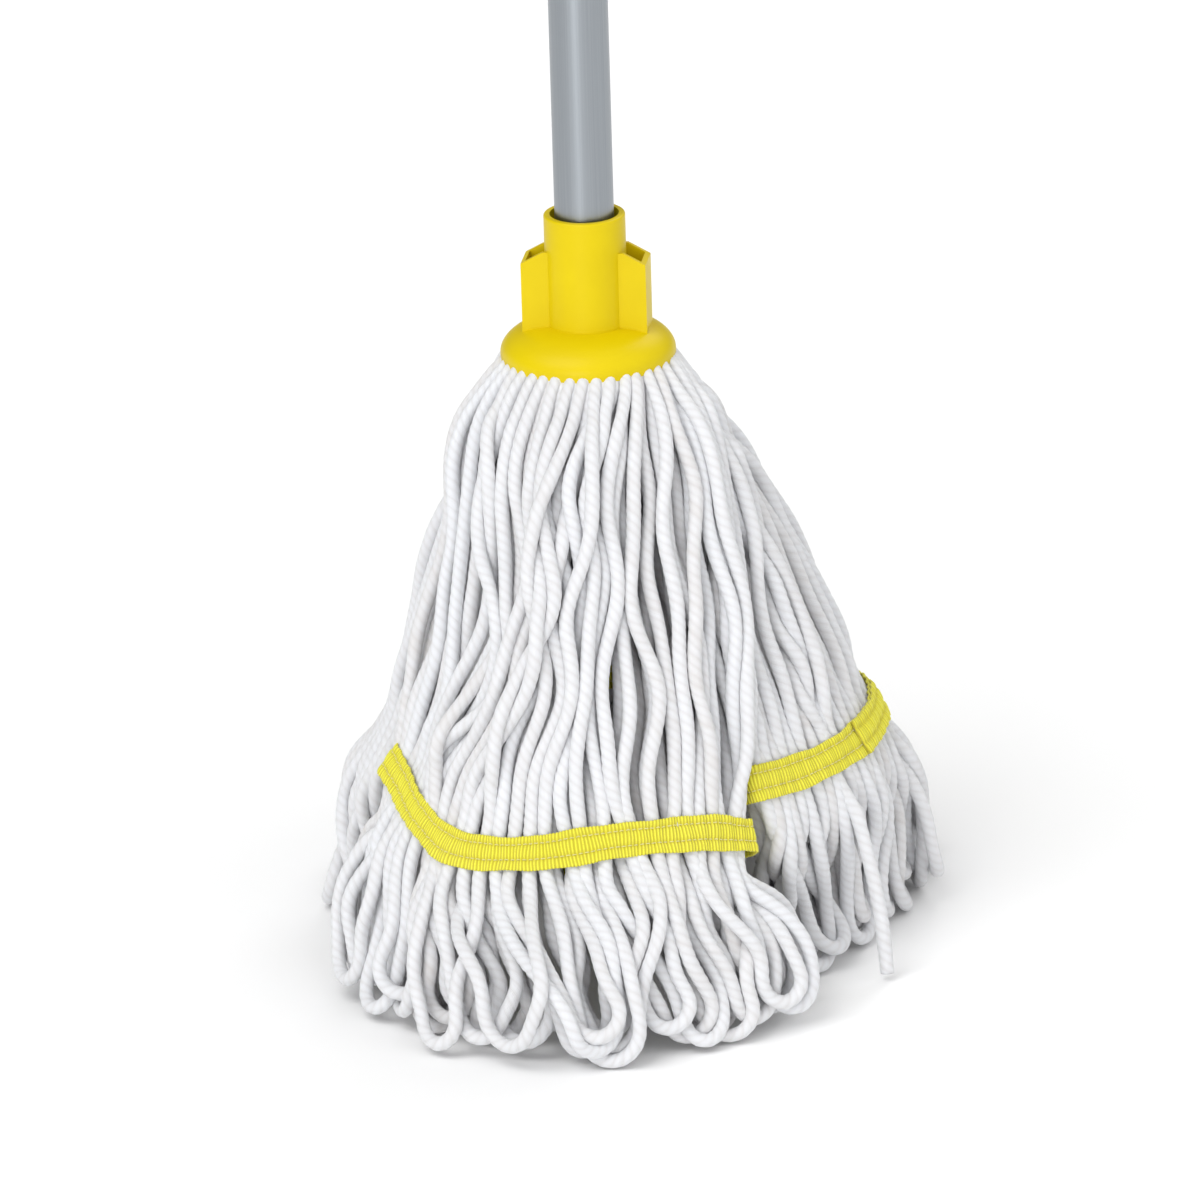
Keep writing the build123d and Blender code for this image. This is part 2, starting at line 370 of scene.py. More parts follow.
@dataclass(frozen=True)
class MouldedPolypropylene:
    """Polypropylene, coloured through and injection moulded in a finely sparked mould.

    To the eye it has one strong colour with a soft, wide gloss, a faint fine grain, and slow
    changes of tone and gloss where the melt cooled unevenly.
    """

    name: str
    colour: str
    deep: str
    roughness: float = 0.38
    # A sparked grain is about 0.05 mm; it is drawn this coarse, in millimetres, to show.
    grain: float = 0.7
    mottle: float = 16.0

    def build(self) -> bpy.types.Material:
        """Builds the finish, whose patterns are fixed to the object's own place.

        Returns:
            The material.
        """
        # IOR is polypropylene's 1.49; the grain spreads its reflection, so its level is low.
        material, shader = blank(self.name)
        shader.inputs["IOR"].default_value = 1.49
        shader.inputs["Specular IOR Level"].default_value = 0.18
        place = add(material, "ShaderNodeTexCoord")
        grain = add(
            material,
            "ShaderNodeTexNoise",
            {"Vector": place.outputs["Object"], "Scale": 1 / (self.grain * MM), "Detail": 2.0},
        )
        mottle = add(
            material,
            "ShaderNodeTexNoise",
            {"Vector": place.outputs["Object"], "Scale": 1 / (self.mottle * MM), "Detail": 3.0},
        )
        colour = add(
            material,
            "ShaderNodeMix",
            {"Factor": mottle.outputs["Fac"], "A": linear(self.colour), "B": linear(self.deep)},
            data_type="RGBA",
        )
        low, high = self.roughness - 0.06, self.roughness + 0.1
        rough = add(
            material,
            "ShaderNodeMapRange",
            {"Value": mottle.outputs["Fac"], "To Min": low, "To Max": high},
        )
        bump = add(
            material,
            "ShaderNodeBump",
            {"Height": grain.outputs["Fac"], "Strength": 0.12, "Distance": 0.2 * MM},
        )
        feed(
            material,
            shader,
            Base_Color=colour.outputs["Result"],
            Roughness=rough.outputs["Result"],
            Normal=bump.outputs["Normal"],
        )
        return material


@dataclass(frozen=True)
class DrawnMetal:
    """Drawn metal, such as anodised aluminium tube or zinc-plated steel.

    To the eye it is a satin grey that takes on the tone of what stands round it, with fine
    streaks along its length from the drawing die.
    """

    name: str
    colour: str
    streak: str
    roughness: float = 0.32
    # A die's scratch is about 0.05 mm wide; it is drawn this wide, in millimetres, to show.
    line_width: float = 0.5
    line_stretch: float = 220.0

    def build(self) -> bpy.types.Material:
        """Builds the finish, whose lines run along Z.

        Returns:
            The material.
        """
        material, shader = blank(self.name)
        shader.inputs["Metallic"].default_value = 1.0
        place = add(material, "ShaderNodeTexCoord")
        across = 1 / (self.line_width * MM)
        stretch = (across, across, across / self.line_stretch)
        drawn = add(
            material,
            "ShaderNodeMapping",
            {"Vector": place.outputs["Object"], "Scale": stretch},
            vector_type="POINT",
        )
        lines = add(
            material,
            "ShaderNodeTexNoise",
            {"Vector": drawn.outputs["Vector"], "Scale": 1.0, "Detail": 3.0},
        )
        colour = add(
            material,
            "ShaderNodeMix",
            {"Factor": lines.outputs["Fac"], "A": linear(self.colour), "B": linear(self.streak)},
            data_type="RGBA",
        )
        low, high = self.roughness - 0.07, self.roughness + 0.07
        rough = add(
            material,
            "ShaderNodeMapRange",
            {"Value": lines.outputs["Fac"], "To Min": low, "To Max": high},
        )
        bump = add(
            material,
            "ShaderNodeBump",
            {"Height": lines.outputs["Fac"], "Strength": 0.05, "Distance": 0.1 * MM},
        )
        feed(
            material,
            shader,
            Base_Color=colour.outputs["Result"],
            Roughness=rough.outputs["Result"],
            Normal=bump.outputs["Normal"],
        )
        return material


@dataclass(frozen=True)
class WovenTape:
    """Ribbed polyester tape, woven of shiny filament threads, or thread of the same filament.

    Each rib's crest is painted bright and clear, as a painted highlight, and the hollow beside
    it is painted deep in colour, as painted shade.
    """

    name: str
    # Crest is the painted highlight colour on the ribs' crests, and hollow is the painted shade in
    # the hollows beside them.
    crest: str
    hollow: str
    rib: float = 1.35
    # A filament is about 0.02 mm wide; bundles of them are drawn, wide enough to show.
    thread: float = 0.25

    def build(self) -> bpy.types.Material:
        """Builds the finish; the mesh's weave attribute is millimetres along and across.

        Returns:
            The material.
        """
        # IOR 1.55 is between polyester along and across its filaments.
        material, shader = blank(self.name)
        shader.inputs["Roughness"].default_value = 0.55
        shader.inputs["IOR"].default_value = 1.55
        shader.inputs["Sheen Weight"].default_value = 0.25
        crest = add(material, "ShaderNodeAttribute", attribute_name="crest")
        weave = add(material, "ShaderNodeAttribute", attribute_name="weave")
        threads = add(
            material,
            "ShaderNodeMapping",
            {"Vector": weave.outputs["Vector"], "Scale": (1 / self.rib, 1 / self.thread, 1.0)},
            vector_type="POINT",
        )
        fine = add(
            material,
            "ShaderNodeTexNoise",
            {"Vector": threads.outputs["Vector"], "Scale": 1.6, "Detail": 2.0},
        )
        shade = add(
            material,
            "ShaderNodeMath",
            {0: crest.outputs["Fac"], 1: fine.outputs["Fac"]},
            operation="MULTIPLY",
        )
        spread = add(
            material,
            "ShaderNodeMapRange",
            {"Value": shade.outputs["Value"], "From Min": 0.04, "From Max": 0.62},
        )
        # Painted highlight and shade: the colour runs from hollow to crest with the rib's height.
        colour = add(
            material,
            "ShaderNodeMix",
            {"Factor": spread.outputs["Result"], "A": linear(self.hollow), "B": linear(self.crest)},
            data_type="RGBA",
        )
        bump = add(
            material,
            "ShaderNodeBump",
            {"Height": fine.outputs["Fac"], "Strength": 0.4, "Distance": 0.15 * MM},
        )
        feed(material, shader, Base_Color=colour.outputs["Result"], Normal=bump.outputs["Normal"])
        return material


@dataclass(frozen=True)
class CottonTape:
    """Unbleached cotton tape, woven plain of spun thread.

    To the eye it is an off-white, matt cloth with a small uneven grain of threads.
    """

    white: str = "#DEDCD6"
    shaded: str = "#C6C2BA"
    thread: float = 1.1

    def build(self) -> bpy.types.Material:
        """Builds the finish; its grain is as wide as the thread, in millimetres.

        Returns:
            The material.
        """
        material, shader = blank("cotton_binding_tape")
        shader.inputs["Roughness"].default_value = 0.9
        shader.inputs["IOR"].default_value = 1.5
        place = add(material, "ShaderNodeTexCoord")
        grain = add(
            material,
            "ShaderNodeTexNoise",
            {"Vector": place.outputs["Object"], "Scale": 1 / (self.thread * MM), "Detail": 2.0},
        )
        colour = add(
            material,
            "ShaderNodeMix",
            {"Factor": grain.outputs["Fac"], "A": linear(self.white), "B": linear(self.shaded)},
            data_type="RGBA",
        )
        bump = add(
            material,
            "ShaderNodeBump",
            {"Height": grain.outputs["Fac"], "Strength": 0.3, "Distance": 0.2 * MM},
        )
        feed(material, shader, Base_Color=colour.outputs["Result"], Normal=bump.outputs["Normal"])
        return material


# ---------------------------------------------------------------- yarn


class Layer(Enum):
    """How deep in a tail a leg of yarn lies at the band."""

    FRONT = 0
    MIDDLE = 1
    BACK = 2


def spaced(values: tuple[float, ...], places: Array) -> Array:
    """Evenly spaced values read at places from 0 to 1 on a smooth line through them."""
    return through(np.array(values, float)[:, None], places)[..., 0]


@dataclass(frozen=True)
class TailShape:
    """How one tail of yarn hangs, from its first edge to its last.

    Angles are row angles in degrees. The band's points are angle, radius and height; the
    floor's are angle and reach. Sweep is how far the legs swing sideways above the band, full
    is how far they bulge under the flange, low is how far they belly out under the band, and
    spill is how far they swing sideways there. Hollow is how far each layer sinks behind the
    one before it between the flange and the band. All are in millimetres. Legs counts those
    of the front, middle and back layer.
    """

    name: str
    flange: tuple[float, float]
    band: tuple[tuple[float, float, float], ...]
    floor: tuple[tuple[float, float], ...]
    sweep: tuple[float, ...]
    full: tuple[float, ...]
    low: tuple[float, ...]
    spill: tuple[float, ...]
    hollow: float
    legs: tuple[int, int, int]

    def band_line(self, places: Array) -> Array:
        """Angle, radius and height of the band's middle, at places from 0 to 1."""
        return through(self.band, places)


FRONT = TailShape(
    "front",
    (188.0, 350.0),
    (
        (216.5, 90.5, 85),
        (227, 95, 80),
        (238, 105, 74.5),
        (249, 114, 69.5),
        (264, 117, 71.5),
        (281, 115.5, 76.5),
        (297, 111, 74.5),
        (308.5, 107.5, 68),
    ),
    ((213, 110), (230, 130), (247, 144), (263, 157), (282, 157), (299, 151), (313, 133)),
    (-6, 6, 17, 14, 4, -2, 2, 5),
    (3, 3, 1, 0, 1, 2),
    (2, 4, 3, 3, 3, 3),
    (0, 0, 0, 0, 0, 0),
    3.0,
    (34, 29, 27),
)
RIGHT = TailShape(
    "right",
    (352.0, 428.0),
    (
        (315, 99, 84.5),
        (326, 99.5, 83.5),
        (341, 102.5, 84),
        (356, 104.5, 84),
        (371, 106, 84),
        (389, 106, 82),
        (409.5, 105, 78),
    ),
    ((325, 113), (339, 101), (351, 105), (366, 119), (386, 138), (408, 145)),
    (0, -4, 3, 5, -3, 0),
    (3, -1, -7, -9, -9, -6),
    (2, 2, 3, 4, 4, 3),
    (0, 0, 0, 0, 0, 0),
    9.5,
    (29, 26, 23),
)
LEFT = TailShape(
    "left",
    (68.0, 188.0),
    (
        (54.5, 104, 77),
        (75, 107, 75),
        (95, 109, 73),
        (115, 108, 74),
        (133, 104, 75),
        (147, 95, 70),
    ),
    ((56, 146), (80, 147), (105, 147), (130, 135), (155, 113), (184, 103)),
    (0, 4, -4, 2, 2, 4),
    (-3, -3, -2, -2, -3, -4),
    (5, 5, 5, 4, 2, 0),
    (0, 0, 0, 0, 0, 2),
    10.5,
    (30, 27, 24),
)
SIDE = TailShape(
    "side",
    (172.0, 196.0),
    ((154, 89, 78), (168, 88, 78), (183, 85, 79), (198, 80, 82)),
    ((154, 108), (170, 100), (184, 95), (202, 94)),
    (0, 0, 0, 0),
    (-12, -14, -14, -11),
    (7, 9, 8, 4),
    (0, 2, 2, 0),
    10.5,
    (11, 9, 7),
)
TAILS = (FRONT, RIGHT, LEFT, SIDE)


@dataclass
class Yarn:
    """The mop's yarn: loops of twisted cotton from the dome, through the bands, to the floor.

    Lengths are millimetres. Lay is the length in which the plies turn once. The profile gives
    each height of the skirt its share of the way from the flange's edge out to the band.
    Exit depths are how far behind the flange's edge each layer leaves the dome, and every
    second leg leaves it by the stagger further in. Squeeze is the share of the diameter that
    is left under the flange, and the rest comes back over the squeeze length. Held length is
    the stretch that lies straight under the tape, at the tape's lean in degrees. The waves are
    the sizes of the sine terms that carry a leg sideways, inwards and, below the band, about.
    Loop half is the least and the greatest half width of a loop, and loop stretch is how much
    longer than round it is. Lift is the height of a loop's lowest point over the floor: the
    first value, and at random up to the second more, both as shares of the diameter. Ring
    step is the distance between two rings of a strand's mesh.
    """

    diameter: float = 5.7
    plies: int = 3
    lay: float = 11.6
    exit_radius: float = 29.0
    exit_height: float = 236.5
    flange_radius: float = 34.0
    flange_underside: float = 234.0
    profile: tuple[tuple[float, float], ...] = (
        (238, 0.0),
        (228, 0.09),
        (220, 0.15),
        (200, 0.25),
        (175, 0.35),
        (150, 0.46),
        (120, 0.585),
        (95, 0.69),
        (70, 0.80),
    )
    exit_depths: tuple[float, float, float] = (0.0, 6.0, 10.4)
    exit_stagger: float = 2.6
    layer_depth: float = 5.5
    squeeze: float = 0.8
    squeeze_length: float = 45.0
    tape_lean: float = 29.0
    held_length: float = 15.0
    bulge_height: float = 205.0
    bulge_spread: float = 24.0
    side_waves: tuple[float, ...] = (5.5, 4.4, 3.2, 2.4, 1.8, 1.3, 0.9)
    inward_waves: tuple[float, ...] = (1.5, 1.3, 1.0, 0.8)
    lower_waves: tuple[float, ...] = (3.2, 2.4, 1.5)
    loop_half: tuple[float, float] = (9.0, 11.8)
    loop_stretch: float = 1.15
    loop_turns: tuple[float, ...] = (-90, -55, -18, 18, 55, 90)
    lift: tuple[float, float] = (0.55, 1.7)
    cut_place: float = 0.3
    cut_angle: float = 333.5
    cut_reach: float = 132.0
    ring_step: float = 1.25
    upper_points: int = 15
    lower_points: int = 6
    line_points: int = 170
    rounds: int = 110
    row_size: int = 16
    shown_loops: int = 38
    rng: np.random.Generator = field(default_factory=lambda: np.random.default_rng(SEED))
    lines: Array = field(init=False)
    behind: Array = field(init=False)
    tail_of: Array = field(init=False)
    is_cut: Array = field(init=False)

    def legs(self, tail: TailShape) -> tuple[Array, Array, Array]:
        """Places of a tail's legs along its band, evenly spaced in each layer but for chance.

        Args:
            tail: the tail.

        Returns:
            For each leg its place from 0 to 1, its layer number and its depth under the flange.
        """
        place = np.concatenate([(np.arange(count) + 0.5) / count for count in tail.legs])
        place += self.rng.normal(0, 0.12 / tail.legs[0], len(place))
        layer = np.repeat([each.value for each in Layer], tail.legs)
        first = np.array(self.exit_depths)[layer]
        deep = first + np.arange(len(place)) % 2 * self.exit_stagger
        order = np.argsort(place)
        return np.clip(place[order], 0.01, 0.99), layer[order], deep[order]

    def pairs(self, count: int) -> Array:
        """Joins a tail's legs two by two, each with the second to seventh free leg after it.

        Args:
            count: how many legs the tail has.

        Returns:
            The numbers of two legs for each loop.
        """
        free = list(range(count))
        out = []
        while len(free) > 1:
            first = free.pop(0)
            step = min(int(self.rng.integers(3, 8)), len(free)) - 1
            out.append((first, free.pop(step)))
        return np.array(out)

    def waves(self, place: Array, along: Array, sizes: tuple[float, ...], shared: float) -> Array:
        """Gentle waves of each leg between two held ends.

        A wave is a sum of sine terms that vanish at both ends; the share that neighbours have
        in common makes them part and gather in groups.

        Args:
            place: the legs' places along the band.
            along: places down each leg, 0 to 1.
            sizes: the size of each term in millimetres.
            shared: the part of each size that neighbours share.

        Returns:
            One row of shifts for each leg.
        """
        total = np.zeros((len(place), len(along)))
        for number, size in enumerate(sizes, start=1):
            knots = self.rng.normal(0, 1, (9 + 2 * number, 1))
            group = through(knots, place)[:, 0]
            own = self.rng.normal(0, 1, len(place))
            weight = size * (shared * group + (1 - shared) * own)
            total += weight[:, None] * np.sin(math.pi * number * along)[None, :]
        return total

    def upper(self, tail: TailShape, place: Array, layer: Array, deep: Array) -> Array:
        """Control points of each leg from inside the dome down to the band.

        A leg leaves the dome, follows the skirt's profile, which sets its radius from its
        height, and turns as a straight line seen from above would. A bulge is added, as a
        bell curve of the height, and a hollow behind each layer, as half a sine wave.

        Args:
            tail: the tail they belong to.
            place: each leg's place along the band, 0 to 1.
            layer: each leg's layer number.
            deep: each leg's depth under the flange.

        Returns:
            The control points, as legs by points by three.
        """
        along = np.linspace(0, 1, self.upper_points) ** 0.92
        band = tail.band_line(place)
        start = tail.flange[0] + (tail.flange[1] - tail.flange[0]) * place
        top = self.flange_underside - 3.5
        height = top + (band[:, 2:3] - top) * along[None, :]
        heights, shares = (np.array(column)[::-1] for column in zip(*self.profile))
        share = np.interp(height, heights, shares) / np.interp(band[:, 2:3], heights, shares)
        near = self.flange_radius - 2.4 - deep[:, None] * 0.9
        radius = near + (band[:, 1:2] - near) * share
        ends = polar(near, start[:, None], 0.0), polar(band[:, 1:2], band[:, 0:1], 0.0)
        chord = ends[0] + (ends[1] - ends[0]) * share[..., None]
        angle = np.degrees(np.arctan2(chord[..., 1], chord[..., 0]))
        fade = 1 - along**0.8
        rank = layer + 0.5 * (deep > np.array(self.exit_depths)[layer])
        inside = rank[:, None] * tail.hollow * np.sin(math.pi * np.clip(along / 0.93, 0, 1)) ** 0.8
        depth = deep[:, None] * fade * 0.8 + layer[:, None] * self.layer_depth * (1 - fade) + inside
        bulge = spaced(tail.full, place)[:, None] * np.exp(
            -(((height - self.bulge_height) / self.bulge_spread) ** 2)
        )
        points = polar(radius + bulge - depth * (1 - 0.35 * fade), angle, height)
        tangential = polar(np.ones_like(angle), angle + 90, 0.0)
        sideways = self.waves(place, along, self.side_waves, 0.58)
        rise = np.clip(along / 0.6, 0, 1)
        fall = np.clip((0.97 - along) / 0.35, 0, 1)
        swing = rise**2 * (3 - 2 * rise) * fall**2 * (3 - 2 * fall)
        sideways = sideways + spaced(tail.sweep, place)[:, None] * swing[None]
        inward = self.waves(place, along, self.inward_waves, 0.4)
        outward = polar(np.ones_like(angle), angle, 0.45)
        points = points + tangential * sideways[..., None]
        points = points - outward * np.abs(inward)[..., None] * 0.7
        bore = np.stack(
            [
                polar(self.exit_radius - 3 - deep * 0.5, start, self.exit_height + 2.5),
                polar(self.exit_radius - deep * 0.6, start, self.exit_height),
            ],
            axis=1,
        )
        return np.concatenate([bore, points[:, :-2], self.under_tape(points)], axis=1)

    def under_tape(self, points: Array) -> Array:
        """Points of each leg above, at and below the tape's middle, on a line at its lean.

        Args:
            points: each leg's points down to the tape.

        Returns:
            Three points for each leg.
        """
        middle = points[:, -1]
        outward = unit(middle * np.array([1, 1, 0]))
        around = np.cross(np.array([0, 0, 1.0]), outward)
        ahead = unit(middle - points[:, -3])
        drift = np.clip((ahead * around).sum(axis=-1, keepdims=True), -0.45, 0.45)
        lean = math.radians(self.tape_lean)
        line = unit(outward * math.sin(lean) - np.array([0, 0, math.cos(lean)]) + around * drift)
        steps = np.array([-0.5, 0, 0.5]) * self.held_length
        return middle[:, None] + line[:, None] * steps[None, :, None]

    def loops(self, tail: TailShape) -> tuple[Array, Array]:
        """Control points of every loop of a tail.

        Two legs are carried on from the band by cubics to the two ends of a bend, which is a
        half turn, a little longer than round, that leans outwards over the floor.

        Args:
            tail: the tail.

        Returns:
            The loops as loops by points by three, and each loop's depth behind the front.
        """
        place, layer, deep = self.legs(tail)
        upper = self.upper(tail, place, layer, deep)
        pair = self.pairs(len(place))
        middle = place[pair].mean(axis=1) + self.rng.normal(0, 0.012, len(pair))
        behind = layer[pair].mean(axis=1)
        floor = through(tail.floor, middle)
        count = len(pair)
        reach = floor[:, 1] - 10 * behind + self.rng.normal(0, 4.0, count)
        angle = floor[:, 0] + self.rng.normal(0, 1.5, count)
        lift = self.diameter * (self.lift[0] + self.rng.random(count) ** 2 * self.lift[1])
        outward = polar(np.ones(count), angle, 0.0)
        sideways = polar(np.ones(count), angle + 90 + self.rng.normal(0, 11, count), 0.0)
        lean = np.clip(self.rng.normal(0.36, 0.2, count), 0.05, 0.9)
        down = unit(outward * lean[:, None] + np.array([0, 0, -1.0]))
        width = self.rng.uniform(*self.loop_half, count)
        bottom = polar(reach, angle, lift)
        turn = np.radians(self.loop_turns)
        bend = (
            bottom[:, None]
            + sideways[:, None] * (width[:, None] * np.sin(turn)[None])[..., None]
            - down[:, None]
            * (width[:, None] * (1 - np.cos(turn))[None])[..., None]
            * self.loop_stretch
        )
        sides = []
        for side, edge in ((0, 0), (1, -1)):
            leg = pair[:, side]
            start = upper[leg, -1]
            entry = upper[leg, -1] - upper[leg, -2]
            finish = bend[:, edge]
            span = np.linalg.norm(finish - start, axis=-1, keepdims=True)
            t = (np.arange(1, self.lower_points + 1) / (self.lower_points + 1))[None, :, None]
            part = t[0, :, 0][None]
            belly = spaced(tail.low, place[leg])[:, None] * np.sin(math.pi * part) ** 1.3
            spill = spaced(tail.spill, place[leg])[:, None] * np.sin(math.pi * part**0.6)
            leave = unit(entry)[:, None] * span[:, None]
            arrive = down[:, None] * span[:, None]
            line = (
                start[:, None] * (2 * t**3 - 3 * t**2 + 1)
                + leave * (t**3 - 2 * t**2 + t)
                + finish[:, None] * (3 * t**2 - 2 * t**3)
                + arrive * (t**3 - t**2)
            )
            shift = self.waves(place[leg], t[0, :, 0], self.lower_waves, 0.35) + spill
            line = line + polar(np.ones(count), angle + 90, 0.0)[:, None] * shift[..., None]
            line = line + outward[:, None] * belly[..., None]
            sides.append(line)
        first, second = upper[pair[:, 0]], upper[pair[:, 1]]
        whole = [first, sides[0], bend, sides[1][:, ::-1], second[:, ::-1]]
        return np.concatenate(whole, axis=1), behind

    def cut_end(self, tail: TailShape) -> Array:
        """Control points of one leg whose loop is cut, so that it ends on the floor.

        Below the band it is a straight line, pushed outwards by half a sine wave.

        Args:
            tail: the tail it belongs to.

        Returns:
            One line of control points, as one by points by three.
        """
        place, angle = np.array([self.cut_place]), np.array([self.cut_angle])
        upper = self.upper(tail, place, np.array([0]), np.array([0.0]))
        end = polar(np.array([self.cut_reach]), angle, self.diameter * self.lift[0])
        t = np.linspace(0, 1, 2 * self.lower_points + 7)[None, 1:, None]
        sag = polar(np.array([1.0]), angle, 0.0)[:, None] * np.sin(math.pi * t) * 5
        lower = upper[:, -1:] + (end[:, None] - upper[:, -1:]) * t + sag
        return np.concatenate([upper, lower], axis=1)

    def relaxed(self, lines: Array, radii: Array, free: Array) -> Array:
        """Moves lines of yarn off each other and off the floor.

        Points closer than their two radii are pushed apart, and the shifts are smoothed along
        each line, so that a line keeps its own waves.

        Args:
            lines: the lines, as lines by points by three.
            radii: the yarn's radius at each point.
            free: 0 where a point is held, up to 1 where it is free.

        Returns:
            The lines after the pushes.
        """
        count, length, _ = lines.shape
        rest = lines.reshape(-1, 3)
        thick = radii.ravel()
        line = np.repeat(np.arange(count), length)
        spot = np.tile(np.arange(length), count)
        move = np.zeros_like(lines)
        for turn in range(self.rounds):
            points = rest + move.reshape(-1, 3)
            if turn % 5 == 0:
                a, b = self.neighbours(points, self.diameter * 1.15)
                apart = (line[a] != line[b]) | (np.abs(spot[a] - spot[b]) > 5)
                a, b = a[apart], b[apart]
            gap = points[a] - points[b]
            distance = np.maximum(np.linalg.norm(gap, axis=1), 1e-3)
            push = np.maximum((thick[a] + thick[b]) * 0.97 - distance, 0) / distance * 0.5
            shift = gap * push[:, None]
            total = np.zeros_like(points)
            hits = np.bincount(a, push > 0, len(points)) + np.bincount(b, push > 0, len(points))
            for axis in range(3):
                total[:, axis] = np.bincount(a, shift[:, axis], len(points))
                total[:, axis] -= np.bincount(b, shift[:, axis], len(points))
            total /= np.maximum(hits * 0.6, 1)[:, None]
            move = move + total.reshape(move.shape)
            for _ in range(2):
                inner = 0.25 * move[:, :-2] + 0.5 * move[:, 1:-1] + 0.25 * move[:, 2:]
                move[:, 1:-1] = inner
            move *= free[..., None]
            low = radii - (lines[..., 2] + move[..., 2])
            move[..., 2] += np.maximum(low, 0)
        return lines + move

    def neighbours(self, points: Array, reach: float) -> tuple[Array, Array]:
        """Pairs of points closer than a reach, found through a grid of cells that size.

        Args:
            points: the points, one row each.
            reach: the greatest distance of a pair.

        Returns:
            The number of the first and of the second point of each pair.
        """
        cell = np.floor((points - points.min(axis=0)) / reach).astype(np.int64) + 1
        size = cell.max(axis=0) + 2
        key = (cell[:, 0] * size[1] + cell[:, 1]) * size[2] + cell[:, 2]
        order = np.argsort(key, kind="stable")
        ranked = key[order]
        steps = [(x, y, z) for x in (-1, 0, 1) for y in (-1, 0, 1) for z in (-1, 0, 1)]
        firsts, seconds = [], []
        for x, y, z in steps:
            wanted = key + (x * size[1] + y) * size[2] + z
            low = np.searchsorted(ranked, wanted, "left")
            many = np.searchsorted(ranked, wanted, "right") - low
            first = np.repeat(np.arange(len(points)), many)
            offset = np.arange(many.sum()) - np.repeat(np.cumsum(many) - many, many)
            second = order[np.repeat(low, many) + offset]
            keep = first < second
            firsts.append(first[keep])
            seconds.append(second[keep])
        a, b = np.concatenate(firsts), np.concatenate(seconds)
        close = ((points[a] - points[b]) ** 2).sum(axis=1) < reach**2
        return a[close], b[close]

    def lay_out(self) -> None:
        """Works out every loop's centreline, and which of them are pieces of their own."""
        blocks = [self.loops(tail) for tail in TAILS]
        control = np.concatenate([loops for loops, _ in blocks])
        cut = self.cut_end(RIGHT)
        self.behind = np.concatenate([behind for _, behind in blocks] + [[0]])
        counts = [len(loops) for loops, _ in blocks]
        self.tail_of = np.append(np.repeat(np.arange(len(TAILS)), counts), TAILS.index(RIGHT))
        self.is_cut = np.arange(len(self.tail_of)) == len(self.tail_of) - 1
        samples = 480
        both = [evened(spline(line, samples), self.line_points) for line in (control, cut)]
        lines = np.concatenate(both)
        along = distance_along(lines)
        total = along[:, -1]
        near_end = self.from_dome(along, self.is_cut)
        # A point is held near the dome and under its band, and free a little further on.
        free = np.clip((near_end - 14) / 16, 0, 1)
        free *= np.clip((self.band_distance(lines) - 8) / 16, 0, 1)
        self.lines = self.relaxed(lines, self.radius_at(near_end), free)
        LOG.info("yarn: %d loops, %.0f to %.0f mm long", len(lines), total.min(), total.max())

    def radius_at(self, end: Array) -> Array:
        """The yarn's radius at a length from the dome, which grows evenly from the squeeze."""
        grown = np.clip(end / self.squeeze_length, 0, 1)
        return self.diameter / 2 * (self.squeeze + (1 - self.squeeze) * grown)

    def from_dome(self, along: Array, is_cut: Array) -> Array:
        """Length of yarn between each point and the nearer end that is held in the dome."""
        return np.where(is_cut[:, None], along, np.minimum(along, along[:, -1:] - along))

    def band_distance(self, lines: Array) -> Array:
        """Distance of each point of each loop from its tail's band.

        Args:
            lines: the loops, as loops by points by three.

        Returns:
            One row of distances for each loop.
        """
        out = np.empty(lines.shape[:2])
        for number, tail in enumerate(TAILS):
            own = self.tail_of == number
            band = tail.band_line(np.linspace(0, 1, 60))
            middle = polar(band[:, 1], band[:, 0], band[:, 2])
            gap = lines[own][:, :, None] - middle[None, None]
            out[own] = np.linalg.norm(gap, axis=-1).min(axis=-1)
        return out

    def mesh(self, name: str, picked: Array) -> bpy.types.Object:
        """Yarn carried along centrelines as one mesh.

        Round each centreline the radius rises from the groove between two plies as the cosine
        of the angle inside the ply, by a depth that comes and goes along the yarn, and the
        whole ring turns once in each lay of length. Two sine waves along it make it uneven.

        Args:
            name: the piece's name.
            picked: the numbers of the loops it holds.

        Returns:
            The new piece.
        """
        lines = self.lines[picked]
        rings = int(round(distance_along(lines)[:, -1].mean() / self.ring_step))
        lines = spline(lines, rings)
        along = distance_along(lines)
        tangent = unit(np.gradient(lines, axis=1))
        outward = unit(lines * np.array([1, 1, 0]))
        lean = unit(outward * 0.88 + np.array([0, 0, 0.47]))
        side = unit(np.cross(tangent, lean))
        face = np.cross(side, tangent)
        around = np.arange(4 * self.plies) / (4 * self.plies) * 2 * math.pi
        crest = np.abs(np.cos(around * self.plies / 2))
        spin = 2 * math.pi / self.lay
        phase = self.rng.random(len(lines)) * 2 * math.pi
        angle = along[..., None] * spin + phase[:, None, None] + around
        near_end = self.from_dome(along, self.is_cut[picked])
        slow = 0.03 * np.sin(along / 9.0 + phase[:, None] * 3)
        swell = 1 + slow + 0.02 * np.sin(along / 3.7 + phase[:, None])
        depth = 0.045 + 0.025 * np.sin(along / 14 + phase[:, None] * 5)
        shape = 0.97 + depth[..., None] * (crest**0.8 - 0.4)
        radius = (self.radius_at(near_end) * swell)[..., None] * shape
        ring = (
            lines[:, :, None]
            + side[:, :, None] * (radius * np.cos(angle))[..., None]
            + face[:, :, None] * (radius * np.sin(angle))[..., None]
        )
        count, columns = len(lines), 4 * self.plies
        faces = grid_faces(rings, columns, False, True)
        first = np.arange(count)[:, None, None] * rings * columns
        body = (first + faces[None]).reshape(-1, 4)
        caps = first[:, 0] + np.arange(columns)[None, ::-1]
        ends = first[:, 0] + (rings - 1) * columns + np.arange(columns)[None]
        blocks = [body[:, ::-1], caps[:, ::-1], ends[:, ::-1]]
        piece = new_object(name, ring.reshape(-1, 3), blocks)
        fibre = np.stack(
            np.broadcast_arrays(
                np.cos(around) * self.diameter / 2,
                np.sin(around) * self.diameter / 2,
                along[..., None] + phase[:, None, None] * 40,
            ),
            -1,
        )
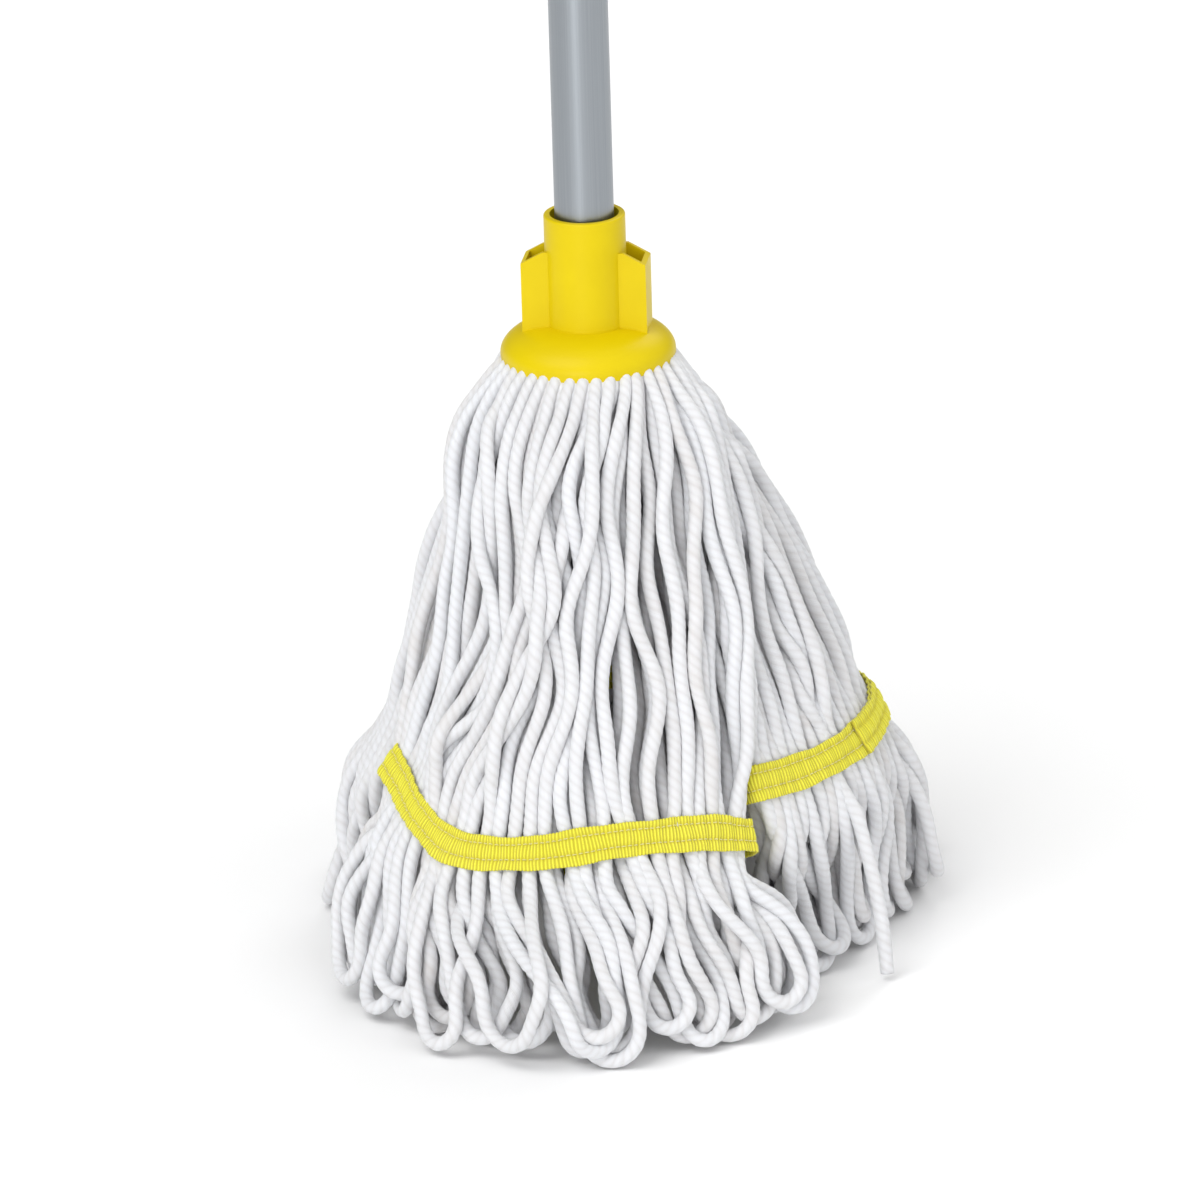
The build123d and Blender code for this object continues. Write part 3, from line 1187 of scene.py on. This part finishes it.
        point_values(piece, "fibre", fibre.reshape(-1, 3))
        # The groove value sets painted shade in the grooves between the plies.
        point_values(piece, "groove", np.broadcast_to(1 - crest, ring.shape[:3]).ravel())
        # Deeper layers get more of the shaded colour, as painted shade; the rest is a random tone
        # from strand to strand.
        inner = self.behind[picked] / Layer.BACK.value
        own = 0.45 * self.rng.random(count) + 0.5 * inner
        tone_and_painted_shade = own[:, None, None] * np.ones(ring.shape[1:3])
        point_values(piece, "tone_and_painted_shade", tone_and_painted_shade.ravel())
        return piece

    def build(self, finish: bpy.types.Material) -> None:
        """Makes the yarn's pieces and joins them to the mop head.

        The foremost loops are pieces of their own; the others of a tail are joined in a few
        pieces.

        Args:
            finish: the yarn's material.
        """
        self.lay_out()
        outer = np.argsort(self.behind + self.rng.random(len(self.behind)) * 0.01)
        shown = np.sort(outer[: self.shown_loops])
        declared = set(shown.tolist())
        for number, tail in enumerate(TAILS):
            own = np.flatnonzero(self.tail_of == number)
            rest = np.array([k for k in own if k not in declared])
            blocks = np.array_split(rest, math.ceil(len(rest) / self.row_size))
            for part, block in enumerate(blocks, start=1):
                piece = self.mesh(f"{tail.name}_yarn_rows_{part}", block)
                self.join(piece, finish)
                if part == 1 and tail is not SIDE:
                    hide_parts(*(f"{tail.name}_yarn_{k}" for k in range(1, 5)))
            for part, k in enumerate((k for k in own if k in declared), start=1):
                piece = self.mesh(f"{tail.name}_yarn_loop_{part}", np.array([k]))
                self.join(piece, finish)

    def join(self, piece: bpy.types.Object, finish: bpy.types.Material) -> None:
        """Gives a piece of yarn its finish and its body.

        Args:
            piece: the piece.
            finish: the yarn's material.
        """
        piece.data.materials.append(finish)
        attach(piece, HEAD)


# ---------------------------------------------------------------- bands


@dataclass
class Band:
    """Ribbed tape sewn in a closed loop round one tail, with two rows of stitching.

    Lengths are millimetres. Lap is where a loose end of the tape lies over it, as shares of
    its loop. Lean is the tape's slope in degrees. Stand off is how far it lies outside the
    middle of the legs, and back depth how far its back half lies behind them. Rows are the
    places of the stitching across it, as shares of its width.
    """

    tail: TailShape
    lap: tuple[float, float] | None = None
    lean: float = 29.0
    width: float = 13.4
    thickness: float = 0.8
    rib: float = 1.35
    stand_off: float = 3.8
    back_depth: float = 11.0
    rows: tuple[float, float] = (-0.27, 0.18)
    stitch: float = 1.5
    stitch_gap: float = 0.9
    thread: float = 0.42
    stitch_rise: float = 0.55
    columns: int = 17
    samples: int = 6
    length: float = field(init=False)

    def centre(self, count: int) -> tuple[Array, Array, Array]:
        """The closed middle line of the tape, and the two directions of its face.

        It runs along the band in front, turns round the last leg as half an ellipse, comes
        back behind by the back depth, and turns round the first leg.

        Args:
            count: how many points it gets.

        Returns:
            Points of the line, and at each one the outward normal and the way down the width.
        """
        fine = np.linspace(0, 1, 400)
        band = self.tail.band_line(fine)
        tilt = math.radians(self.lean)
        slope = polar(math.sin(tilt), band[:, 0], -math.cos(tilt))
        middle = polar(band[:, 1], band[:, 0], band[:, 2])
        run = unit(np.gradient(middle, axis=0))
        lean = unit(np.cross(slope, run))
        half = (self.back_depth + 2 * self.stand_off) / 2
        core = middle - lean * self.back_depth / 2
        turn = np.linspace(0, math.pi, 40)[1:-1, None]
        out = self.stand_off + 0.8
        around_last = core[-1] + half * np.cos(turn) * lean[-1] + out * np.sin(turn) * run[-1]
        around_first = core[0] - half * np.cos(turn) * lean[0] - out * np.sin(turn) * run[0]
        line = np.concatenate(
            [core + lean * half, around_last, (core - lean * half)[::-1], around_first]
        )
        normal = np.concatenate(
            [
                lean,
                np.cos(turn) * lean[-1] + np.sin(turn) * run[-1],
                -lean[::-1],
                -np.cos(turn) * lean[0] - np.sin(turn) * run[0],
            ]
        )
        ahead = np.roll(line, -1, axis=0) - np.roll(line, 1, axis=0)
        down = unit(np.cross(unit(ahead), normal))
        closed = np.concatenate([line, line[:1]])
        along = distance_along(closed[None])[0]
        places = np.linspace(0, along[-1], count, endpoint=False)
        self.length = float(along[-1])
        read = []
        for values in (line, normal, down):
            rows = np.concatenate([values, values[:1]])
            read.append(np.stack([np.interp(places, along, rows[:, k]) for k in range(3)], -1))
        return read[0], unit(read[1]), unit(read[2])

    def surface(
        self, line: Array, normal: Array, down: Array, across: Array
    ) -> tuple[Array, Array]:
        """Points of the tape's face, and how far each stands on the crest of a rib.

        The height over the flat tape is a rib, as the cosine of the length over a rib's width,
        less a furrow along each row of stitching, as a bell curve, plus puckers between the
        legs of yarn, as sine waves of the length. The ribs wander and the width changes by
        sine waves as well.

        Args:
            line: points of the middle line.
            normal: the outward normal at each point.
            down: the way down the width at each point.
            across: distances from the middle line, in one row.

        Returns:
            The points, as rows along by columns across by three, and the crest, 0 to 1.
        """
        along = distance_along(line[None])[0][:, None]
        wander = 0.9 * np.sin(along / 7.7 + across / 5.0) + 0.7 * np.sin(along / 2.9 - across / 2.2)
        rib = 0.5 + 0.5 * np.cos(2 * math.pi * along / self.rib + wander)
        furrow = sum(np.exp(-(((across - row * self.width) / 0.8) ** 2)) for row in self.rows)
        pucker = 0.42 * np.sin(2 * math.pi * along / 6.2 + 0.9 * np.sin(along / 21))
        pucker = pucker + 0.42 * np.sin(along / 5.1 + across / 3.0) + 0.4 * np.sin(along / 13.7)
        edge = 1 - 0.6 * np.abs(across / (self.width / 2)) ** 6
        pucker = pucker * (0.6 + 0.4 * np.abs(across) / self.width)
        height = 0.5 * rib * edge - 0.5 * furrow + pucker
        width_wave = 1 + 0.045 * np.sin(along / 8.3) + 0.03 * np.sin(along / 3.1 + 1) + 0.03 * rib
        points = (
            line[:, None]
            + down[:, None] * (across * width_wave)[..., None]
            + normal[:, None] * height[..., None]
        )
        # The crest value, lowered along the stitching furrows, drives the tape's painted highlight
        # and painted shade.
        return points, rib * np.ones_like(across) * (1 - 0.6 * np.minimum(furrow, 1))

    def build(self, tape: bpy.types.Material, thread: bpy.types.Material) -> None:
        """Args:
            tape: the tape's material.
            thread: the sewing thread's material.
        """
        self.centre(8)
        piece = self.strip(f"{self.tail.name}_tape", tape)
        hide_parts(f"{self.tail.name}_band")
        sewing = [self.stitching(thread)]
        if self.lap:
            lift = self.thickness + 0.5
            sewing.append(self.strip(f"{self.tail.name}_tape_end", tape, self.lap, lift))
        LOG.info("%s tape: %.0f mm long", self.tail.name, self.length)

    def strip(
        self,
        name: str,
        finish: bpy.types.Material,
        span: tuple[float, float] | None = None,
        lift: float = 0,
    ) -> bpy.types.Object:
        """A piece of the tape: its outer face, and the same face moved in by its thickness.

        Args:
            name: the piece's name.
            finish: its finish.
            span: where it starts and stops, as shares of the loop; a closed loop without one.
            lift: how far it stands off the loop.

        Returns:
            The new piece.
        """
        count = int(self.length / self.rib) * self.samples
        line, normal, down = self.centre(count)
        across = np.linspace(-0.5, 0.5, self.columns)[None, :] * self.width
        points, crest = self.surface(line, normal, down, across)
        along = distance_along(line[None])[0][:, None]
        if span:
            keep = slice(int(span[0] * count), int(span[1] * count))
            points, normal, crest, along = points[keep], normal[keep], crest[keep], along[keep]
            points = points + normal[:, None] * lift
        inner = points - normal[:, None] * self.thickness
        ring = np.concatenate([points, inner[:, ::-1]], axis=1)
        rows, columns = ring.shape[:2]
        faces = [grid_faces(rows, columns, not span, True)]
        if span:
            faces.append(np.arange(columns)[None, ::-1])
            faces.append((rows - 1) * columns + np.arange(columns)[None])
        piece = new_object(name, ring.reshape(-1, 3), faces)
        piece.data.materials.append(finish)
        # The crest attribute sets the painted highlight on the ribs and the painted shade in their
        # hollows and furrows.
        rise = np.concatenate([crest, crest[:, ::-1]], axis=1)
        point_values(piece, "crest", rise.ravel())
        both = np.concatenate([across, across[:, ::-1]], axis=1)
        weave = np.stack(np.broadcast_arrays(along, both, 0.0), -1)
        point_values(piece, "weave", weave.reshape(-1, 3))
        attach(piece, HEAD)
        return piece

    def stitching(self, finish: bpy.types.Material) -> bpy.types.Object:
        """Two rows of stitches: short arcs of thread that dip into the tape at their ends.

        A stitch's height over the tape is the sine of its length times a half turn.

        Args:
            finish: the thread's material.

        Returns:
            The new piece.
        """
        pitch = self.stitch + self.stitch_gap
        stitches = int(self.length / pitch)
        steps, sides = 7, 6
        line, normal, down = self.centre(stitches * 24)
        along = distance_along(line[None])[0]
        local = np.linspace(0, 1, steps)
        lines = []
        for row in self.rows:
            starts = np.arange(stitches) * pitch + 0.3
            spots = (starts[:, None] + local[None] * self.stitch).ravel()
            pick = np.clip(np.searchsorted(along, spots), 0, len(along) - 1)
            points, _ = self.surface(line, normal, down, np.array([[row * self.width]]))
            rise = self.stitch_rise * np.sin(math.pi * np.tile(local, stitches)) - 0.05
            arcs = points[pick, 0] + normal[pick] * rise[:, None]
            lines.append(arcs.reshape(stitches, steps, 3))
        lines = np.concatenate(lines)
        tangent = unit(np.gradient(lines, axis=1))
        side = unit(np.cross(tangent, unit(lines * np.array([1, 1, 0.3]))))
        face = np.cross(side, tangent)
        around = np.arange(sides) / sides * 2 * math.pi
        ring = lines[:, :, None] + self.thread / 2 * (
            side[:, :, None] * np.cos(around)[:, None] + face[:, :, None] * np.sin(around)[:, None]
        )
        faces = grid_faces(steps, sides, False, True)
        first = np.arange(len(lines))[:, None, None] * steps * sides
        body = (first + faces[None]).reshape(-1, 4)
        caps = first[:, 0] + np.arange(sides)[None, ::-1]
        ends = first[:, 0] + (steps - 1) * sides + np.arange(sides)[None]
        piece = new_object(
            f"{self.tail.name}_stitching",
            ring.reshape(-1, 3),
            [body[:, ::-1], caps[:, ::-1], ends[:, ::-1]],
        )
        piece.data.materials.append(finish)
        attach(piece, HEAD)
        return piece


# ---------------------------------------------------------------- hard parts and studio


@dataclass(frozen=True)
class HardParts:
    """The moulded and metal parts, which keep their own shapes and get their finishes."""

    def dress(self) -> None:
        """Gives each hard part its finish."""
        # Moulded polypropylene: clear yellow outside, plain grey for the parts out of sight.
        yellow = MouldedPolypropylene("moulded_yellow_polypropylene", "#DAC303", "#D0B702").build()
        grey = MouldedPolypropylene("moulded_grey_polypropylene", "#C9C9C5", "#BDBDB9").build()
        # Satin anodised aluminium tube: cool grey, with soft upright bands of light.
        tube = DrawnMetal("anodised_drawn_aluminium", "#A1A6AB", "#91969B", 0.38).build()
        # Bright zinc plating on steel: a little warmer and glossier than the tube.
        steel = DrawnMetal("zinc_plated_steel", "#C6C6C2", "#A9A9A6", 0.3).build()
        # Plain cotton tape: off-white and quite matt.
        cotton = CottonTape().build()
        for material, nodes in (
            (yellow, ("socket", "hand_grip", "hanging_cap")),
            (grey, ("yarn_clamp", "handle_end_plug")),
            (tube, ("handle_tube",)),
            (steel, ("clamp_screw", "clamp_washer")),
            (cotton, ("head_tape",)),
        ):
            for name in nodes:
                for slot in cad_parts[name].material_slots:
                    slot.material = material
            LOG.info("%s: %s", material.name, ", ".join(nodes))


@dataclass(frozen=True)
class Studio:
    """A pale floor, soft lights and the camera.

    Azimuth, elevation and roll are the camera's, in degrees; its distance, the width of the
    picture where the mop stands, and the point it is aimed at are metres. The lights are a
    name, bearing, height, spread and strength each. The sky is brightest towards one side
    and rises smoothly from its least to its greatest strength.
    """

    azimuth: float = 8.0
    elevation: float = 19.8
    roll: float = 1.69
    distance: float = 4.2
    picture_width: float = 0.468
    aim_height: float = 0.1333
    aim_right: float = 0.0017
    floor_half: float = 9000.0
    lights: tuple[tuple[str, float, float, float, float], ...] = (
        ("key", -40, 55, 44, 1.3),
        ("front", -8, 2, 18, 0.95),
        ("back", 165, 42, 40, 0.7),
    )
    sky_side: tuple[float, float, float] = (0.50, -0.80, 0.33)
    sky_span: tuple[float, float] = (-0.45, 0.85)
    sky_strength: tuple[float, float] = (0.2, 1.05)

    def light(self, name: str, turn: float, rise: float, spread: float, power: float) -> None:
        """A distant soft light.

        Args:
            name: the light's name.
            turn: its bearing round Z in degrees, 0 at -Y and positive towards +X.
            rise: its height over the floor in degrees.
            spread: how wide it looks in degrees, which softens its shadows.
            power: its strength in watts on a square metre.
        """
        lamp = bpy.data.lights.new(name, "SUN")
        lamp.angle = math.radians(spread)
        lamp.energy = power
        holder = bpy.data.objects.new(name, lamp)
        a, e = math.radians(turn), math.radians(rise)
        towards = Vector((math.sin(a) * math.cos(e), -math.cos(a) * math.cos(e), math.sin(e)))
        holder.rotation_euler = (-towards).to_track_quat("-Z", "Y").to_euler()
        bpy.context.scene.collection.objects.link(holder)

    def floor(self) -> None:
        """Lays a plain square of paper under the mop, wide enough to fill the picture."""
        corners = np.array([(-1, -1, 0), (1, -1, 0), (1, 1, 0), (-1, 1, 0)], float)
        floor = new_object("studio_floor", corners * self.floor_half, [np.array([[0, 1, 2, 3]])])
        # Matt white paper: no gloss and no pattern, so that only soft shadows show on it.
        material, shader = blank("matt_white_paper")
        shader.inputs["Base Color"].default_value = linear("#FBFBFB")
        shader.inputs["Roughness"].default_value = 0.9
        floor.data.materials.append(material)

    def sky(self) -> None:
        """Makes the sky, whose strength follows how far a direction leans to the bright side."""
        world = bpy.data.worlds.new("studio_world")
        world.use_nodes = True
        sky = world.node_tree.nodes["Background"]
        sky.inputs["Color"].default_value = linear("#F9F9F9")
        place = add(world, "ShaderNodeTexCoord")
        side = add(
            world,
            "ShaderNodeVectorMath",
            {0: place.outputs["Generated"], 1: self.sky_side},
            operation="DOT_PRODUCT",
        )
        bright = add(
            world,
            "ShaderNodeMapRange",
            {
                "Value": side.outputs["Value"],
                "From Min": self.sky_span[0],
                "From Max": self.sky_span[1],
                "To Min": self.sky_strength[0],
                "To Max": self.sky_strength[1],
            },
            interpolation_type="SMOOTHSTEP",
        )
        world.node_tree.links.new(bright.outputs["Result"], sky.inputs["Strength"])
        bpy.context.scene.world = world
        bpy.context.scene.view_settings.view_transform = "Standard"

    def camera(self) -> None:
        """Sets up the camera, level with its azimuth and elevation and then rolled a little."""
        side, rise = math.radians(self.azimuth), math.radians(self.elevation)
        away = Vector(
            (math.sin(side) * math.cos(rise), -math.cos(side) * math.cos(rise), math.sin(rise))
        )
        right = Vector((math.cos(side), math.sin(side), 0))
        up = away.cross(right)
        turn = math.radians(self.roll)
        tilted = right * math.cos(turn) - up * math.sin(turn)
        upright = up * math.cos(turn) + right * math.sin(turn)
        aim = Vector((0, 0, self.aim_height)) + right * self.aim_right
        camera = bpy.data.cameras.new("camera")
        camera.sensor_width = 36
        camera.lens = 18 / (self.picture_width / 2 / self.distance)
        camera.clip_end = 30
        holder = bpy.data.objects.new("camera", camera)
        axes = Matrix((tilted, upright, away)).transposed().to_4x4()
        holder.matrix_world = Matrix.Translation(aim + away * self.distance) @ axes
        bpy.context.scene.collection.objects.link(holder)
        bpy.context.scene.camera = holder

    def build(self) -> None:
        """Builds the floor, the sky, the lights and the camera."""
        self.floor()
        self.sky()
        for name, *values in self.lights:
            self.light(name, *values)
        self.camera()


def main() -> None:
    """Builds the mop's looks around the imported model."""
    logging.basicConfig(level=logging.INFO, format="%(message)s")
    Studio().build()
    HardParts().dress()
    Yarn().build(CottonYarn().build())
    # Ribbed polyester tape: lemon yellow, with painted highlight on the rib crests and painted
    # shade in the hollows. The sewing thread is cream filament.
    tape = WovenTape("ribbed_yellow_tape", "#F5F33B", "#BDB006").build()
    thread = WovenTape("cream_sewing_thread", "#F3EFC4", "#DDD68E").build()
    for band in (Band(FRONT), Band(RIGHT, lap=(0.165, 0.3)), Band(LEFT)):
        band.build(tape, thread)


if __name__ == "__main__":
    main()
